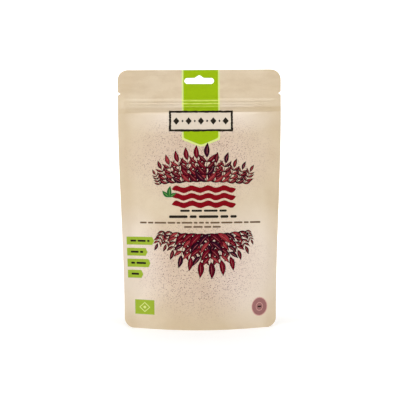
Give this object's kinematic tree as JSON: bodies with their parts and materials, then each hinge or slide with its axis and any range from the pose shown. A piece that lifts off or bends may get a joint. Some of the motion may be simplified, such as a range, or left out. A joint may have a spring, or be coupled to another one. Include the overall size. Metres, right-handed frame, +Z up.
{
  "type": "stand-up pouch",
  "caption": "Filled kraft-paper stand-up pouch with a bottom gusset, press-to-close zip, hang hole and tear notches, holding dried seaweed fronds.",
  "frame": {"origin": "middle of the foot that the pouch stands on", "axes": "+Z up the pouch to its header, +Y from the printed front to the back, +X to the right of someone facing the front"},
  "size_m": [0.13, 0.0406, 0.2055],
  "materials": {
    "front_panel": "matte",
    "back_panel": "matte",
    "bottom_gusset": "matte",
    "zip_strip": "satin",
    "dulse": "satin"
  },
  "bodies": {
    "root": {"front_panel": "front_panel", "back_panel": "back_panel", "bottom_gusset": "bottom_gusset", "zip_groove_strip": "zip_strip", "zip_ridge_strip": "zip_strip", "dulse_frond_1": "dulse", "dulse_frond_2": "dulse", "dulse_frond_3": "dulse", "dulse_frond_4": "dulse", "dulse_frond_5": "dulse", "dulse_frond_6": "dulse"}
  },
  "joints": []
}
